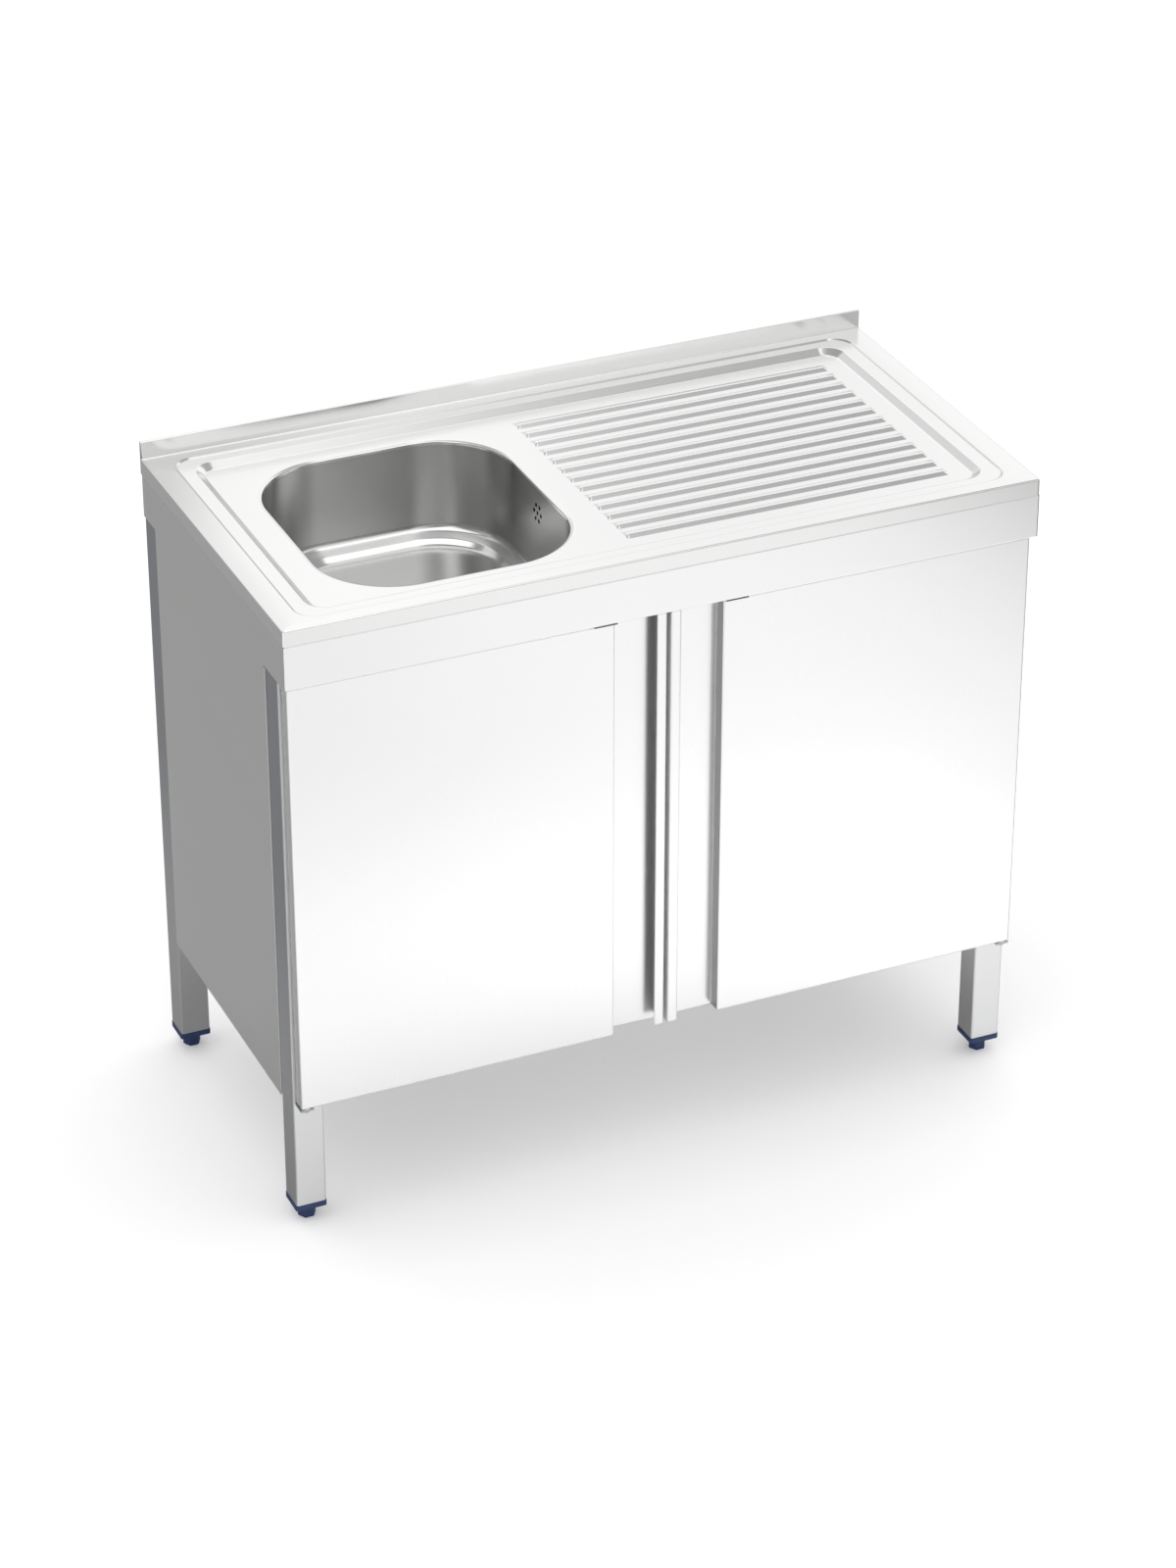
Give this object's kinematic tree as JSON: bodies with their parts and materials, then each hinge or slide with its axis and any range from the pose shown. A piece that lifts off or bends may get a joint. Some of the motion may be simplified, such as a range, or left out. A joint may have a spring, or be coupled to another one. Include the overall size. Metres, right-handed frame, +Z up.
{
  "type": "sink unit",
  "caption": "Free-standing stainless sink unit with a pressed worktop, bowl, ribbed drainer, hinged cabinet doors and adjustable feet.",
  "frame": {"origin": "on the floor, under the middle of the unit's overall box", "axes": "+X along the length towards the drainer, +Y from the doors to the wall, +Z up"},
  "size_m": [1, 0.505, 0.884],
  "materials": {
    "satin_stainless": "satin brushed",
    "grained_stainless": "matt grained",
    "zinc_steel": "zinc plated",
    "navy_plastic": "matt navy blue",
    "white_nylon": "plain",
    "grey_plastic": "plain",
    "dark_plastic": "plain",
    "black_rubber": "matt"
  },
  "bodies": {
    "frame": {"worktop": "satin_stainless", "bowl": "satin_stainless", "drainer_stiffener": "grained_stainless", "waste_strainer": "satin_stainless", "waste_gasket": "black_rubber", "waste_body": "grey_plastic", "waste_nut": "grey_plastic", "overflow_gasket": "black_rubber", "overflow_cup": "grey_plastic", "overflow_pipe": "grey_plastic", "front_left_leg": "grained_stainless", "front_right_leg": "grained_stainless", "rear_left_leg": "grained_stainless", "rear_right_leg": "grained_stainless", "front_left_foot_plug": "navy_plastic", "front_right_foot_plug": "navy_plastic", "rear_left_foot_plug": "navy_plastic", "rear_right_foot_plug": "navy_plastic", "front_apron": "satin_stainless", "rear_rail": "satin_stainless", "left_side_panel": "satin_stainless", "right_side_panel": "satin_stainless", "back_panel": "satin_stainless", "bottom_shelf": "satin_stainless", "left_upper_bracket": "zinc_steel", "right_upper_bracket": "zinc_steel", "left_lower_bracket": "zinc_steel", "right_lower_bracket": "zinc_steel", "left_upper_pin": "zinc_steel", "right_upper_pin": "zinc_steel", "left_lower_pin": "zinc_steel", "right_lower_pin": "zinc_steel", "left_door_catch": "dark_plastic", "right_door_catch": "dark_plastic"},
    "left_door": {"left_door_skin": "satin_stainless", "left_door_liner": "satin_stainless", "left_upper_bush": "white_nylon", "left_lower_bush": "white_nylon", "left_strike_plate": "zinc_steel"},
    "right_door": {"right_door_skin": "satin_stainless", "right_door_liner": "satin_stainless", "right_upper_bush": "white_nylon", "right_lower_bush": "white_nylon", "right_strike_plate": "zinc_steel"},
    "front_left_foot_body": {"front_left_foot": "navy_plastic"},
    "front_right_foot_body": {"front_right_foot": "navy_plastic"},
    "rear_left_foot_body": {"rear_left_foot": "navy_plastic"},
    "rear_right_foot_body": {"rear_right_foot": "navy_plastic"}
  },
  "joints": [
    {"name": "left_door_hinge", "type": "hinge", "parent": "frame", "child": "left_door", "pos_m": [-0.4862, -0.2361, 0.4809], "axis": [0, 0, -1], "range_deg": [0, 110]},
    {"name": "right_door_hinge", "type": "hinge", "parent": "frame", "child": "right_door", "pos_m": [0.4862, -0.2361, 0.4809], "axis": [0, 0, 1], "range_deg": [0, 110]},
    {"name": "front_left_foot_screw", "type": "slide", "parent": "frame", "child": "front_left_foot_body", "axis": [0, 0, -1], "range_m": [0, 0.025]},
    {"name": "front_right_foot_screw", "type": "slide", "parent": "frame", "child": "front_right_foot_body", "axis": [0, 0, -1], "range_m": [0, 0.025]},
    {"name": "rear_left_foot_screw", "type": "slide", "parent": "frame", "child": "rear_left_foot_body", "axis": [0, 0, -1], "range_m": [0, 0.025]},
    {"name": "rear_right_foot_screw", "type": "slide", "parent": "frame", "child": "rear_right_foot_body", "axis": [0, 0, -1], "range_m": [0, 0.025]}
  ]
}
